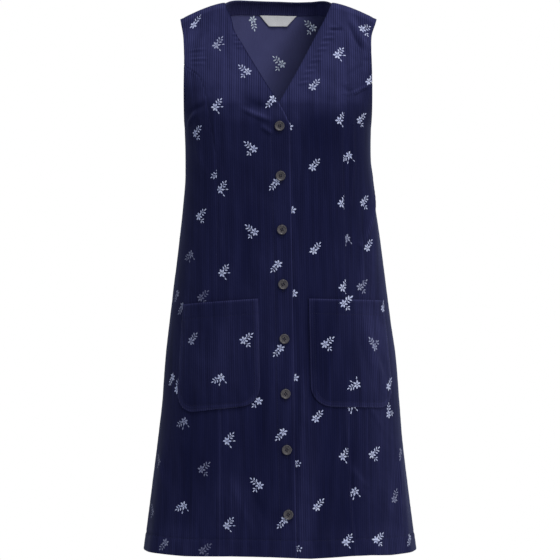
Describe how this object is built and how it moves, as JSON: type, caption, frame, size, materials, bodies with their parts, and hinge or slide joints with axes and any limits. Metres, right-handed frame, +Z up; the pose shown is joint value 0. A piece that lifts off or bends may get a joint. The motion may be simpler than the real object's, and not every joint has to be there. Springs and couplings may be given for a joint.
{
  "type": "shift dress",
  "caption": "Sleeveless, V-necked corduroy shift dress with sprig embroidery, buttoned down the front, with patch pockets, filled out as worn.",
  "frame": {"origin": "midway between the shoulder seams, level with their neck ends, where the shoulders hold the dress up", "axes": "+Z up towards the neck, -Y towards the buttoned front, +X towards the wearer's left"},
  "size_m": [0.485, 0.3196, 0.9888],
  "materials": {
    "corduroy": "matt navy corduroy with a soft nap",
    "facing_cloth": "matt navy corduroy",
    "label_cloth": "smooth woven tape",
    "horn": "satin",
    "thread": "pale blue embroidery and sewing thread"
  },
  "bodies": {
    "root": {"front_right": "corduroy", "front_left": "corduroy", "side_front_right": "corduroy", "side_front_left": "corduroy", "back": "corduroy", "pocket_right": "corduroy", "pocket_left": "corduroy", "back_neck_facing": "facing_cloth", "neck_label": "label_cloth", "button_1": "horn", "button_2": "horn", "button_3": "horn", "button_4": "horn", "button_5": "horn", "button_6": "horn", "button_7": "horn", "button_8": "horn"}
  },
  "joints": []
}
